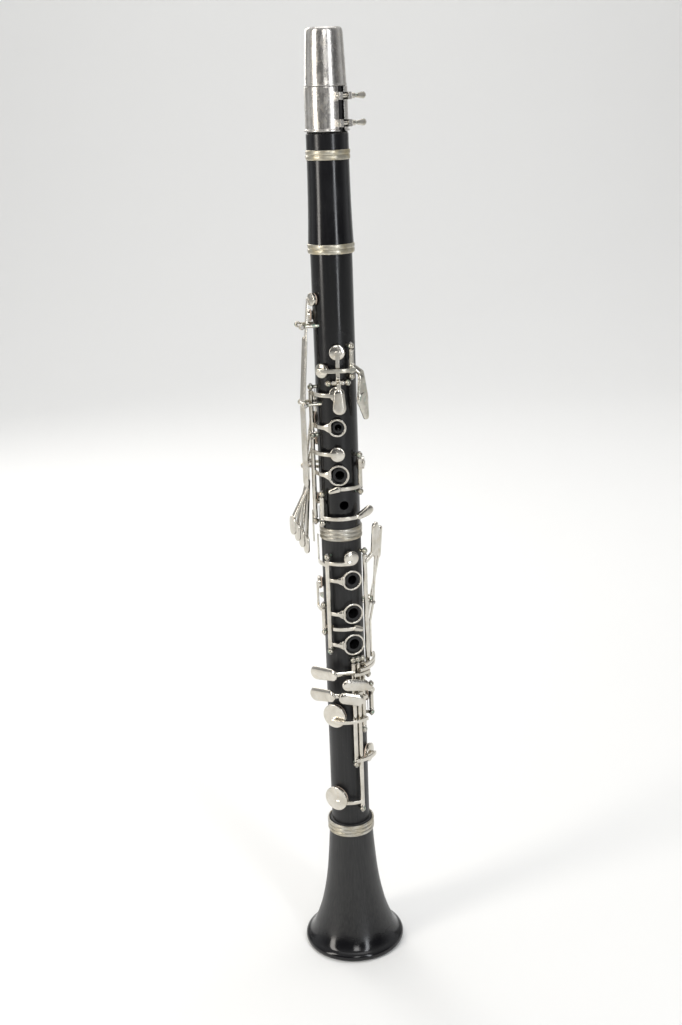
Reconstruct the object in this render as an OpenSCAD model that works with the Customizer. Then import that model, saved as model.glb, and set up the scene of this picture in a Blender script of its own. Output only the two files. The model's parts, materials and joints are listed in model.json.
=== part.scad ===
// Clarinet in B flat, standing on its bell with its joints put together and its cap on.
// Z runs up the bore. Angles run round the bore from the front (-Y) towards +X.

/* [Overall] */
// Length of the bell
bell_len = 106; // [90:1:130]
// Length of the lower joint between its shoulders
lower_len = 237; // [190:1:290]
// Length of the upper joint between its shoulders
upper_len = 193; // [155:1:235]
// Length of the barrel
barrel_len = 67.5; // [55:0.5:82]
// Radius of the wooden joints
body_r = 14.3; // [13.6:0.1:17.2]
// Diameter of the bore
bore_d = 14.7; // [12:0.1:16]
// Turn of the lower joint against the upper one
lower_turn = 24; // [18:1:26]
// Radius of the bell's mouth
bell_r = 38.3; // [36:0.1:46]

/* [Tenons] */
// Radius of the wooden tenons
tenon_r = 10.9; // [9:0.1:11.2]
// Length of the tenons
tenon_len = 16; // [13:0.5:20]
// Radial gap between a cork and its socket
cork_gap = 0.05; // [0.03:0.01:0.1]
// Depth of the groove under a cork
cork_t = 0.9; // [0.6:0.1:1.2]

/* [Rings] */
// Thickness of a ferrule that sits on the wood
ring_t = 1.1; // [0.8:0.1:1.6]
// Height of the barrel's ferrules
barrel_ring_h = 6.5; // [5:0.5:9]
// Height of the lower joint's ferrule
lower_ring_h = 9; // [7:0.5:12]
// Height of the bell's ferrule
bell_ring_h = 9; // [7:0.5:12]

/* [Keywork] */
// Height of the hinge lines over the wood
hinge_up = 4.2; // [4:0.1:5]
// Diameter of the hinge rods
rod_d = 1.9; // [1.4:0.1:2]
// Radial running gap of a tube on its rod
rod_gap = 0.1; // [0.05:0.01:0.1]
// Outer diameter of the hinge tubes
tube_d = 3.3; // [3:0.1:3.4]
// Diameter of the balls on the posts
ball_d = 4.4; // [4:0.1:4.6]
// Diameter of the post stems
stem_d = 2.4; // [2:0.1:2.6]
// Width of the key arms
arm_w = 2.8; // [2.4:0.1:3]
// Thickness of the key arms
arm_t = 1.3; // [1:0.1:1.4]
// Height of the levers that pass over the tubes, over the wood
over_up = 7.2; // [7.2:0.1:7.8]
// Height of the side levers over the wood
side_up = 9.9; // [9.6:0.1:11]
// Thickness of the finger plates
touch_t = 1.8; // [1.4:0.1:2]

/* [Pads and holes] */
// Height of the pad seats over the wood
seat_up = 0.7; // [0.5:0.1:1]
// Thickness of a pad
pad_t = 2.2; // [1.8:0.1:2.4]
// How much of a pad shows under its cup
pad_proud = 0.9; // [0.6:0.1:1]
// Gap between a closed pad and its seat
pad_gap = 0.05; // [0.02:0.01:0.1]
// Height of the cups
cup_h = 2; // [1.8:0.1:2.2]
// Wall of the cups
cup_wall = 0.5; // [0.4:0.1:0.8]
// Height of the finger-hole chimneys over the wood
chimney_up = 2.7; // [2.4:0.1:3]
// Width of the metal round a finger ring
ring_w = 1.4; // [1.2:0.1:1.8]
// Gap between a finger ring and its chimney
ring_gap = 1.15; // [1.1:0.05:1.3]
// Opening angle of the ring keys on the upper joint
upper_open = 3.6; // [2.5:0.1:4]
// Opening angle of the ring key on the lower joint
lower_open = 4.3; // [3:0.1:4.5]
// Opening angle of the two low keys
low_open = 3.6; // [2.5:0.1:4]

/* [Mouthpiece] */
// Height of the mouthpiece above the barrel
mouth_len = 72.5; // [66:0.5:80]
// Radius of the mouthpiece at the barrel
mouth_r = 14.2; // [13.8:0.1:14.6]
// Radius of the mouthpiece under the ligature
grip_r = 13.1; // [12.8:0.1:13.2]
// Thickness of the ligature band
band_t = 0.6; // [0.4:0.1:0.8]
// Height of the ligature
band_h = 28; // [24:1:30]
// Width of the slit in the ligature
band_slit = 5; // [3:0.5:7]
// Height of the cap
cap_h = 36.5; // [36:0.5:42]
// Wall of the cap
cap_t = 0.6; // [0.5:0.1:0.8]
// Thickness of the reed at its heel
reed_t = 2.4; // [2:0.1:2.6]

/* [Hidden] */
$fn = 64;

// Colours
wood = "#1d1d1f";
silver = "#b9b6ad";
steel = "#7c8088";
skin = "#d9c9b4";
cork = "#b48a5a";
cane = "#d8c27a";

// Heights of the shoulders, and places along a joint that keep step with its length
upper_z = bell_len + lower_len;
barrel_z = upper_z + upper_len;
mouth_z = barrel_z + barrel_len;
band_z = mouth_z + 11.5;
cap_z = band_z + band_h + 0.3;
function uz(up) = upper_z + up * upper_len / 193;
function lz(up) = bell_len + up * lower_len / 237;
function la(a) = lower_turn + a;

// Radii that go with the wood
hinge_r = body_r + hinge_up;
over_r = body_r + over_up;
side_r = body_r + side_up;
seat_r = body_r + seat_up;
cup_r = seat_r + pad_gap + pad_proud;
chimney_r = body_r + chimney_up;
touch_r = over_r + 3;
foot_r = body_r - 2.8;
socket_r = tenon_r + cork_gap + 0.05;
bore_r = bore_d / 2;
fit = 0.02;
rocker_side = 3.7;
side_pair = 2.1;

// Padded holes: height, angle, cup diameter, hole diameter
register_hole = [uz(135), 180, 8.6, 3];
a_hole = [uz(127.5), 5, 10.8, 6];
g_sharp_hole = [uz(114.7), -33.5, 10, 5.5];
upper_ring_hole = [uz(99), 4, 10.6, 6.5];
bridge_hole = [uz(56.2), 1, 10.3, 6.5];
side_hole_1 = [uz(163), -58, 9, 5];
side_hole_2 = [uz(151), -90, 9, 5];
side_hole_3 = [uz(78), -102, 9.4, 6];
side_hole_4 = [uz(62), -118, 9.4, 6];
c_sharp_hole = [uz(19), -100, 9, 5.5];
e_flat_hole = [uz(45), 88, 9.2, 6];
lower_ring_hole = [lz(216.1), la(-1), 10.8, 8];
f_sharp_sliver_hole = [lz(193), la(-112), 9.6, 6];
f_c_hole = [lz(92.6), la(-57), 18.4, 12];
e_b_hole = [lz(23.6), la(-60), 18.8, 12.5];
f_sharp_c_sharp_hole = [lz(57), la(44), 14, 10];
a_flat_hole = [lz(99), la(103), 13, 9];
upper_holes = [register_hole, a_hole, g_sharp_hole, upper_ring_hole, bridge_hole, side_hole_1, side_hole_2,
    side_hole_3, side_hole_4, c_sharp_hole, e_flat_hole];
lower_holes = [lower_ring_hole, f_sharp_sliver_hole, f_c_hole, e_b_hole, f_sharp_c_sharp_hole, a_flat_hole];

// Finger holes: height, angle, ring outer diameter, hole diameter
first_hole = [uz(75), 2, 12.8, 5];
second_hole = [uz(40.8), 2, 15, 6.5];
third_hole = [uz(17.7), 12, 0, 6.5];
thumb_hole = [uz(81), 180, 13, 6];
right_hole_1 = [lz(199.2), la(0), 15, 7];
right_hole_2 = [lz(173.5), la(0), 15.6, 8];
right_hole_3 = [lz(149.4), la(0), 16.4, 8];
upper_finger_holes = [first_hole, second_hole, thumb_hole];
lower_finger_holes = [right_hole_1, right_hole_2, right_hole_3];

// Hinges along the bore: angle, radius, height of the lower post, height of the upper post
ring_line = [-73, hinge_r, uz(4.5), uz(102)];
ring_line_middle = uz(67.5);
thumb_line = [-130, hinge_r, uz(72), uz(91)];
g_sharp_line = [37, hinge_r, uz(110.5), uz(131.5)];
c_sharp_line = [-44, hinge_r - 0.3, uz(5), uz(26.5)];
e_flat_line = [54, hinge_r - 0.3, uz(27), uz(53.5)];
lower_line = [la(-58.5), hinge_r, lz(144.5), lz(217)];
sliver_line = [la(-76), hinge_r - 0.3, lz(158), lz(179)];
rod_a = [la(-6), hinge_r, lz(53), lz(137.5)];
rod_b = [la(6), hinge_r, lz(14.7), lz(137.5)];
rod_c = [la(18), hinge_r, lz(80), lz(137.5)];
a_flat_line = [la(58), hinge_r, lz(88.5), lz(111.5)];
left_line = [la(38), hinge_r, lz(137.5) - 15, lz(218.6)];
upper_lines = [ring_line, thumb_line, g_sharp_line, c_sharp_line, e_flat_line];
lower_lines = [lower_line, sliver_line, rod_a, rod_b, rod_c, a_flat_line, left_line];

// Hinges across the bore: angle, radius, height, way out to the posts on each side
register_pivot = [180, hinge_r, uz(109), 4, 4];
a_pivot = [5, body_r + 2.9, uz(106.5), 6.6, 6.6];
long_pivot = [-75.5, side_r, uz(90.5), 6.2, 6.2];
short_pivot = [-110, side_r, uz(43.5), 6.2, 6.2];
rocker_pivot = [la(80), over_r, lz(175), 0, 7.4];
upper_pivots = [register_pivot, a_pivot, long_pivot, short_pivot];
lower_pivots = [rocker_pivot];
guide = [-75.5, side_r, uz(145), 6.2, 6.2];

// Point from its angle, radius and height
function pt(a, r, z) = [r * sin(a), -r * cos(a), z];

// Frame at a place on the wood: x round the bore, y up, z outwards
module spot(a, z, r = 0)
    rotate([0, 0, a]) translate([0, 0, z]) rotate([90, 0, 0]) translate([0, 0, r]) children();

// Turn about a hinge that runs along the bore
module swing(line, turn)
    translate(pt(line[0], line[1], 0)) rotate([0, 0, turn]) translate(-pt(line[0], line[1], 0)) children();

module rod_along(line, z0, z1, d)
    translate(pt(line[0], line[1], z0)) cylinder(d = d, h = z1 - z0);

module rod_across(pivot, x0, x1, d)
    spot(pivot[0], pivot[2], pivot[1]) translate([x0, 0, 0]) rotate([0, 90, 0]) cylinder(d = d, h = x1 - x0);

// Flat arm bent round the bore from one angle to another
module arc_arm(z, r, a0, a1, w = arm_w, t = arm_t)
    rotate([0, 0, a0 - 90]) rotate_extrude(angle = a1 - a0)
        translate([r - t / 2, z - w / 2]) square([t, w]);

// Straight piece along the bore, lying on the wood side of the radius r
module long_arm(a, r, z0, z1, w = arm_w, t = arm_t, x = 0)
    spot(a, z0, r - t / 2) translate([x - w / 2, 0, 0]) cube([w, z1 - z0, t]);

// Bent flat bar in the plane of a lever, through [height, radius] points
module bent_bar(a, pts, x, w, t)
    rotate([0, 0, a]) rotate([90, 0, 0]) translate([x + w / 2, 0, 0]) rotate([0, -90, 0]) linear_extrude(w)
        for (i = [0 : len(pts) - 2])
            bar_piece(pts[i], pts[i + 1], t);

// One straight piece of a bent bar, with square ends that cover the bend
module bar_piece(p, q, t)
    translate([p[1], p[0]]) rotate(atan2(q[0] - p[0], q[1] - p[1]))
        translate([-t / 2, -t / 2]) square([norm(q - p) + t, t]);

// Round disc that faces outwards at the angle n
module disc(p, d, t, n)
    translate(p) rotate([0, 0, n]) rotate([90, 0, 0]) cylinder(d = d, h = t, center = true, $fn = 32);

// Finger plate between two discs
module plate(p, q, d0, d1, t, n)
    hull() {
        disc(p, d0, t, n);
        disc(q, d1, t, n);
    }

module cup(hole)
    spot(hole[1], hole[0], cup_r) cylinder(d = hole[2], h = cup_h);

module pad(hole)
    color(skin) spot(hole[1], hole[0], seat_r + pad_gap)
        cylinder(d = hole[2] - 2 * cup_wall - 0.1, h = pad_t);

// Finger ring round its chimney, closed
module finger_ring(hole)
    spot(hole[1], hole[0], chimney_r - 1.4) difference() {
        cylinder(d = hole[2], h = 1.5);
        translate([0, 0, -1]) cylinder(d = hole[2] - 2 * ring_w, h = 4);
    }

// Arm from a hinge line to the edge of a finger ring
module ring_arm(line, hole, side)
    arc_arm(hole[0], chimney_r + 0.2, min(line[0], hole[1] - side * ring_edge(hole)),
        max(line[0], hole[1] - side * ring_edge(hole)));
function ring_edge(hole) = asin((hole[2] - ring_w) / 2 / chimney_r);

// Room for the pad in its cup
module recess(hole)
    spot(hole[1], hole[0], cup_r - 1) cylinder(d = hole[2] - 2 * cup_wall, h = 1 + pad_t - pad_proud);

// Key that turns on a rod along the bore, with the pad holes that it covers
module key_along(line, z0, z1, holes = [])
    color(silver) difference() {
        union() {
            rod_along(line, z0, z1, tube_d);
            for (h = holes)
                cup(h);
            children();
        }
        rod_along(line, z0 - 1, z1 + 1, rod_d + 2 * rod_gap);
        for (h = holes)
            recess(h);
    }

// Key that turns on a rod across the bore
module key_across(pivot, x0, x1, holes = [])
    color(silver) difference() {
        union() {
            rod_across(pivot, x0, x1, tube_d);
            for (h = holes)
                cup(h);
            children();
        }
        rod_across(pivot, x0 - 1, x1 + 1, rod_d + 2 * rod_gap);
        for (h = holes)
            recess(h);
    }

// Wooden body

module bore(z0, z1, r = bore_r)
    translate([0, 0, z0 - 0.01]) cylinder(r = r, h = z1 - z0 + 0.02);

// Tenon that points up or down from the height z, with its cork groove
module tenon(z, up)
    mirror([0, 0, up ? 0 : 1]) translate([0, 0, up ? z : -z]) rotate_extrude()
        polygon([[0, -1], [tenon_r, -1], [tenon_r, 2], [tenon_r - cork_t, 2],
            [tenon_r - cork_t, tenon_len - 3], [tenon_r, tenon_len - 3], [tenon_r, tenon_len],
            [0, tenon_len]]);

module tenon_cork(z, up)
    color(cork) mirror([0, 0, up ? 0 : 1]) translate([0, 0, (up ? z : -z) + 2 + fit]) difference() {
        cylinder(r = tenon_r + 0.05, h = tenon_len - 5 - 2 * fit);
        translate([0, 0, -1]) cylinder(r = tenon_r - cork_t + fit, h = tenon_len);
    }

// Seat turrets and holes of the tone holes
module seats(holes)
    for (h = holes)
        spot(h[1], h[0]) cylinder(d = h[2] - 2.8, h = seat_r);

module hole_cuts(holes)
    for (h = holes)
        spot(h[1], h[0], bore_r - 2) cylinder(d = h[3], h = seat_r);

module chimney_cuts(holes)
    for (h = holes)
        spot(h[1], h[0], body_r - 2.5) cylinder(r = chimney_outer(h) + fit, h = 9);
function chimney_outer(h) = h[2] / 2 - ring_w - ring_gap;

// Holes for the stems of all posts
module stem_cuts(lines, pivots) {
    for (h = lines) {
        stem_hole(h[0], h[2]);
        stem_hole(h[0], h[3]);
    }
    for (p = pivots) {
        stem_hole(p[0], p[2], p[4]);
        stem_hole(p[0], p[2], -p[3]);
    }
}

module stem_hole(a, z, x = 0)
    spot(a, z, foot_r - fit) translate([x, 0, -x * x / (2.4 * foot_r)]) cylinder(d = stem_d + 2 * fit, h = 9);

module upper_joint()
    color(wood) difference() {
        union() {
            translate([0, 0, upper_z]) cylinder(r = body_r, h = upper_len);
            tenon(barrel_z, true);
            tenon(upper_z, false);
            seats(upper_holes);
        }
        bore(upper_z - tenon_len, barrel_z + tenon_len);
        hole_cuts(upper_holes);
        hole_cuts(upper_finger_holes);
        spot(third_hole[1], third_hole[0], bore_r - 2) cylinder(d = third_hole[3], h = 12);
        chimney_cuts(upper_finger_holes);
        stem_cuts(upper_lines, concat(upper_pivots, [guide]));
        stem_hole(ring_line[0], ring_line_middle);
    }

module lower_joint()
    color(wood) difference() {
        union() {
            translate([0, 0, bell_len]) cylinder(r = body_r, h = lower_len);
            tenon(bell_len, false);
            seats(lower_holes);
        }
        bore(bell_len - tenon_len, upper_z);
        translate([0, 0, upper_z - tenon_len - 0.3]) cylinder(r = socket_r, h = tenon_len + 1);
        hole_cuts(lower_holes);
        hole_cuts(lower_finger_holes);
        chimney_cuts(lower_finger_holes);
        stem_cuts(lower_lines, lower_pivots);
        for (up = [0, 1])
            spot(la(180), rest_z + up * rest_screws, foot_r) cylinder(d = rest_screw_d + 2 * fit, h = 9);
        translate([0, 0, upper_z - lower_ring_h]) ferrule_seat(lower_ring_h, body_r - ring_inset);
    }

ring_inset = 0.3;
throat_r = 16.2;
rim_h = 6;
lip_r = bell_r - 5.3;

// Recess in the wood under a ferrule
module ferrule_seat(h, r)
    difference() {
        cylinder(r = r + 4, h = h + 1);
        translate([0, 0, -1]) cylinder(r = r, h = h + 3);
    }

// Outline of the bell: a bell curve from the throat to the lip
function flare(z, r0, r1, h, n) = r0 + (r1 - r0) * pow(max(0, 1 - z / h), n);
bell_top = bell_len - 16;
module bell()
    color(wood) rotate_extrude($fn = 96)
        polygon(concat(
            [[bell_r - 1.2, 0], [bell_r, 1.4], [bell_r, rim_h - 2], [bell_r - 1.6, rim_h]],
            [for (i = [0 : 12]) let (z = rim_h + i * (bell_top - rim_h) / 12)
                [flare(z - rim_h, throat_r, lip_r, bell_top - rim_h, 2.15), z]],
            [[throat_r, bell_len - bell_ring_h - 0.02],
                [throat_r - ring_inset, bell_len - bell_ring_h - 0.02], [throat_r - ring_inset, bell_len],
                [socket_r, bell_len], [socket_r, bell_len - tenon_len - 0.4]],
            [for (i = [12 : -1 : 0]) let (z = i * (bell_len - tenon_len - 2) / 12)
                [flare(z, bore_r + 2.2, bell_r - 8, bell_len - tenon_len - 2, 2), z]]));

// Ferrule with turned ridges
module ferrule(z, h, r_in, r_out, ridges) {
    color(silver) translate([0, 0, z]) difference() {
        union() {
            cylinder(r = r_out - 0.5, h = h);
            for (i = [0 : ridges - 1])
                translate([0, 0, i * (h - ridge_h(h, ridges)) / (ridges - 1)])
                    cylinder(r = r_out, h = ridge_h(h, ridges));
        }
        translate([0, 0, -1]) cylinder(r = r_in, h = h + 2);
    }
}
function ridge_h(h, ridges) = h / (2 * ridges - 1);

module bell_ring()
    ferrule(bell_len - bell_ring_h, bell_ring_h - 0.02, throat_r - ring_inset + fit,
        throat_r + ring_t + 0.5, 3);

module lower_joint_ring()
    ferrule(upper_z - lower_ring_h, lower_ring_h - 0.02, body_r - ring_inset + fit, body_r + ring_t, 3);

module tenon_corks() {
    tenon_cork(barrel_z, true);
    tenon_cork(upper_z, false);
    tenon_cork(bell_len, false);
}

// Posts, rods, springs and the thumb rest

module post(a, r, z, x = 0)
    color(silver) spot(a, z) {
        foot = foot_r - x * x / (2.4 * foot_r);
        translate([x, 0, foot]) cylinder(d = stem_d, h = r - foot);
        translate([x, 0, r]) sphere(d = ball_d, $fn = 32);
    }

module posts_along(line) {
    difference() {
        union() {
            post(line[0], line[1], line[2]);
            post(line[0], line[1], line[3]);
        }
        rod_along(line, line[2] - 4, line[3] + 4, rod_d + 2 * fit);
    }
}

module posts_across(pivot) {
    difference() {
        union() {
            post(pivot[0], pivot[1], pivot[2], pivot[4]);
            post(pivot[0], pivot[1], pivot[2], -pivot[3]);
        }
        rod_across(pivot, -pivot[3] - 4, pivot[4] + 4, rod_d + 2 * fit);
    }
}

module key_posts() {
    for (h = concat(upper_lines, lower_lines))
        posts_along(h);
    for (p = concat(upper_pivots, lower_pivots, [guide]))
        posts_across(p);
    difference() {
        post(ring_line[0], ring_line[1], ring_line_middle);
        rod_along(ring_line, ring_line_middle - 4, ring_line_middle + 4, rod_d + 2 * fit);
    }
}

module hinge_rods()
    color(steel) {
        for (h = concat(upper_lines, lower_lines))
            rod_along(h, h[2] - rod_end, h[3] + rod_end, rod_d);
        for (p = concat(upper_pivots, lower_pivots, [guide]))
            rod_across(p, p[3] > 0 ? -p[3] - rod_end : -rocker_side - 2, p[4] + rod_end, rod_d);
    }
rod_end = 2.3;

// Needle springs: straight wires from a post towards the middle of the key, under its tube
spring_d = 0.5;
spring_len = 11;
spring_r = body_r + 1.4;
module needle(line, top)
    spot(line[0], top ? line[3] - spring_len : line[2], spring_r)
        rotate([-90, 0, 0]) cylinder(d = spring_d, h = spring_len, $fn = 16);

module needle_springs()
    color(steel) {
        needle(ring_line, true);
        needle(ring_line, false);
        needle(thumb_line, false);
        needle(g_sharp_line, false);
        needle(lower_line, true);
        needle(lower_line, false);
        needle(rod_a, true);
        needle(rod_b, false);
        needle(rod_c, false);
        needle(a_flat_line, false);
        needle(left_line, false);
    }

// Thumb rest on the back of the lower joint
rest_z = lz(178);
rest_screws = 12;
rest_screw_d = 2;
rest_w = 13;
module thumb_rest()
    color(silver) {
        spot(la(180), rest_z, body_r + 0.35) difference() {
            translate([-rest_w / 2, -5, 0]) cube([rest_w, rest_screws + 10, 1.6]);
            for (up = [0, 1])
                translate([0, up * rest_screws, -1]) cylinder(d = rest_screw_d + 2 * fit, h = 4);
        }
        spot(la(180), rest_z - 5, body_r + 1.5)
            translate([-rest_w / 2, 0, 0]) cube([rest_w, 2.4, 13]);
    }

module thumb_rest_screws()
    color(steel) for (up = [0, 1])
        spot(la(180), rest_z + up * rest_screws, foot_r) {
            cylinder(d = rest_screw_d, h = body_r + 2.2 - foot_r);
            translate([0, 0, body_r + 1.97 - foot_r]) cylinder(d = 3.6, h = 0.9);
        }

module chimney(h)
    spot(h[1], h[0], body_r - 2.5) difference() {
        cylinder(r = chimney_outer(h), h = chimney_r - body_r + 2.5);
        translate([0, 0, -1]) cylinder(d = h[3], h = 9);
    }

module tone_hole_tubes()
    color(wood) for (h = concat(upper_finger_holes, lower_finger_holes))
        chimney(h);

// Barrel and mouthpiece

barrel_foot_r = 15.7;
barrel_head_r = body_r - 0.1;
module barrel()
    color(wood) difference() {
        translate([0, 0, barrel_z + 0.05]) rotate_extrude()
            polygon(concat([[0, 0], [barrel_foot_r - ring_t, 0],
                [barrel_foot_r - ring_t, barrel_ring_h + 0.02]],
                [for (i = [0 : 10]) let (s = i / 10)
                    [barrel_head_r + (barrel_foot_r - barrel_head_r - 0.2) * pow(1 - s, 2),
                        barrel_ring_h + 0.02 + s * (barrel_len - 2 * barrel_ring_h - 0.1)]],
                [[barrel_head_r - 0.5, barrel_len - barrel_ring_h - 0.08],
                    [barrel_head_r - 0.5, barrel_len - 0.1], [0, barrel_len - 0.1]]));
        bore(barrel_z, mouth_z);
        translate([0, 0, barrel_z - 1]) cylinder(r = socket_r, h = tenon_len + 1.3);
        translate([0, 0, mouth_z - tenon_len - 0.4]) cylinder(r = socket_r, h = tenon_len + 1);
    }

module barrel_rings() {
    ferrule(barrel_z + 0.05, barrel_ring_h - 0.02, barrel_foot_r - ring_t + fit, barrel_foot_r + 0.3, 2);
    ferrule(mouth_z - barrel_ring_h - 0.03, barrel_ring_h - 0.04, barrel_head_r - 0.5 + fit,
        barrel_head_r + 0.65, 2);
}

tip_r = grip_r - 1.9;
table_y = tip_r - 0.6;
mouth_top = mouth_z + mouth_len;
beak_z = cap_z + 1;
module mouthpiece()
    color(wood) difference() {
        union() {
            tenon(mouth_z, false);
            translate([0, 0, mouth_z]) cylinder(r = mouth_r, h = band_z - mouth_z - 1.5);
            translate([0, 0, band_z - 1.5]) cylinder(r1 = mouth_r, r2 = grip_r, h = 1.5);
            translate([0, 0, band_z]) cylinder(r = grip_r, h = 24);
            translate([0, 0, band_z + 24]) cylinder(r1 = grip_r, r2 = tip_r, h = mouth_top - band_z - 24);
        }
        bore(mouth_z - tenon_len, band_z + 24);
        translate([-20, table_y, mouth_z + 3]) cube([40, 20, mouth_len + 2]);
        beak_cut();
        translate([-5.6, -1, band_z + 3]) cube([11.2, 20, mouth_top - band_z - 5.5]);
    }

// Sloping face of the beak, from the front at beak_z to the tip
module beak_cut()
    translate([-20, -grip_r - 0.5, beak_z]) rotate([-beak_slope, 0, 0])
        translate([0, -30, 0]) cube([40, 30, 80]);
beak_slope = atan((table_y + grip_r - 0.6) / (mouth_top - beak_z));

module mouthpiece_cork()
    tenon_cork(mouth_z, false);

// Reed, flat on the table and thinned towards the tip
module reed()
    color(cane) difference() {
        intersection() {
            translate([-6.4, table_y + fit, mouth_z + 5]) cube([12.8, reed_t + 1, mouth_len - 5.6]);
            union() {
                translate([0, 0, mouth_z]) cylinder(r = grip_r - 0.05, h = band_z + 24 - mouth_z);
                translate([0, 0, band_z + 24])
                    cylinder(r1 = grip_r - 0.05, r2 = tip_r - 0.05, h = mouth_top - band_z - 24);
            }
        }
        translate([-20, table_y + reed_t - 0.1, band_z + band_h + 3]) rotate([reed_slope, 0, 0])
            cube([40, 20, 60]);
    }
reed_slope = atan((reed_t - 0.5) / (mouth_top - band_z - band_h - 3));

// Ligature: a split band with a lug on each side of its slit
slit_a = 45;
band_in = mouth_r + 0.1 - band_t;
screw_up = [5, 22];
screw_d = 2.2;
module ligature()
    color(silver) difference() {
        union() {
            difference() {
                union() {
                    translate([0, 0, band_z]) cylinder(r = band_in + band_t, h = band_h);
                    translate([0, 0, band_z]) cylinder(r = band_in + band_t + 0.9, h = 1.2);
                }
                translate([0, 0, band_z - 1]) cylinder(r = band_in, h = band_h + 2);
                rotate([0, 0, slit_a - 90]) translate([0, -band_slit / 2, band_z - 1])
                    cube([30, band_slit, band_h + 2]);
            }
            for (up = screw_up, s = [-1, 1])
                spot(slit_a, band_z + up, band_in + 0.3)
                    translate([s * (band_slit / 2 + 1.5) - 1.5, -2.4, -1]) cube([3, 4.8, lug_out + 3]);
        }
        for (up = screw_up)
            spot(slit_a, band_z + up, band_in + lug_out)
                translate([-10, 0, 0]) rotate([0, 90, 0]) cylinder(d = screw_d + 2 * rod_gap, h = 20);
    }
lug_out = 2.4;

// Thumb screw across the slit, with a flat wing head
wing_x = 13;
module thumb_screw(up)
    color(silver) spot(slit_a, band_z + up, band_in + lug_out) {
        translate([-band_slit / 2 - 4, 0, 0]) rotate([0, 90, 0])
            cylinder(d = screw_d, h = wing_x + band_slit / 2 + 4);
        translate([band_slit / 2 + 3.3, 0, 0]) rotate([0, 90, 0]) cylinder(d = 3.8, h = 4);
        translate([wing_x - 1, -3.2, -0.7]) cube([8.5, 6.4, 1.4]);
    }

module ligature_screw_upper() thumb_screw(screw_up[1]);
module ligature_screw_lower() thumb_screw(screw_up[0]);

// Cap over the beak, with a bead at its mouth and a round shoulder
module mouthpiece_cap()
    color(silver) translate([0, 0, cap_z]) rotate_extrude()
        polygon(concat(
            [[cap_in, 0], [cap_in + cap_t, 0], [cap_in + cap_t, 1.2], [cap_in + cap_t - 0.25, 1.8]],
            [for (i = [0 : 8]) cap_corner(cap_in + cap_t - 2.2, cap_h, 4.5, i * 90 / 8)],
            [[0, cap_h], [0, cap_h - cap_t]],
            [for (i = [8 : -1 : 0]) cap_corner(cap_in - 2.2, cap_h - cap_t, 4, i * 90 / 8)]));
cap_in = grip_r + 0.45;
function cap_corner(r, h, c, a) = [r - c * (1 - cos(a)), h - c * (1 - sin(a))];

// Keys

arm_r = cup_r + cup_h + 0.45;
under_r = body_r + 1.1;
tail_r = over_r + 1;
tail_w = 2.6;
bar_t = 1.5;
pinky_z = rod_a[3] + 4;
function tail_z(i) = rod_a[3] - 3.9 - i * (tail_w + 0.6);
end_gap = 2.5;

// Point in the frame of a hinge across the bore
function side_pt(a, x, r, z) = pt(a, r, z) + [x * cos(a), x * sin(a), 0];

// Short upright between two radii at a place
module riser(a, z, r0, r1, w = arm_w)
    spot(a, z, r0) translate([-1, -w / 2, 0]) cube([2, w, r1 - r0]);

module register_key()
    key_across(register_pivot, end_gap - register_pivot[3], register_pivot[4] - end_gap, [register_hole]) {
        bent_bar(180, [[register_hole[0], arm_r], [register_pivot[2], arm_r], [register_pivot[2] - 3, over_r],
            [uz(103), over_r]], 0, arm_w, arm_t);
        plate(pt(180, over_r, uz(103)), pt(180, over_r, uz(95)), 6, 9, touch_t, 180);
    }

module thumb_ring_key()
    swing(thumb_line, upper_open) key_along(thumb_line, thumb_line[2] + end_gap, thumb_line[3] - end_gap) {
        finger_ring(thumb_hole);
        arc_arm(thumb_hole[0], chimney_r + 0.2, -180 + ring_edge(thumb_hole), thumb_line[0]);
    }

module upper_ring_key()
    swing(ring_line, -upper_open)
        key_along(ring_line, ring_line_middle + end_gap, ring_line[3] - end_gap, [upper_ring_hole]) {
        arc_arm(ring_line[3] - end_gap - arm_w / 2, arm_r, ring_line[0], upper_ring_hole[1]);
        finger_ring(first_hole);
        ring_arm(ring_line, first_hole, 1);
    }

bridge_a = -85;
bridge_r = hinge_r + 1.4;
module bridge_ring_key()
    swing(ring_line, -upper_open)
        key_along(ring_line, ring_line[2] + end_gap, ring_line_middle - end_gap, [bridge_hole]) {
        arc_arm(bridge_hole[0], arm_r, ring_line[0], bridge_hole[1]);
        finger_ring(second_hole);
        ring_arm(ring_line, second_hole, 1);
        arc_arm(ring_line[2] + end_gap + 3, bridge_r, bridge_a, ring_line[0]);
        long_arm(bridge_a, bridge_r, upper_z - 12, ring_line[2] + end_gap + 4.4);
    }

module a_key()
    key_across(a_pivot, end_gap - a_pivot[3], a_pivot[4] - end_gap, [a_hole]) {
        bent_bar(a_pivot[0], [[a_hole[0], arm_r], [a_pivot[2] + 3.5, arm_r], [a_pivot[2], a_pivot[1]],
            [a_pivot[2], over_r + 1.1], [uz(101), over_r + 1.1]], 0, arm_w, arm_t);
        plate(pt(a_pivot[0], over_r + 1.1, uz(100)), pt(a_pivot[0], over_r + 1.1, uz(90)),
            7, 9, touch_t, a_pivot[0]);
    }

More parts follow.
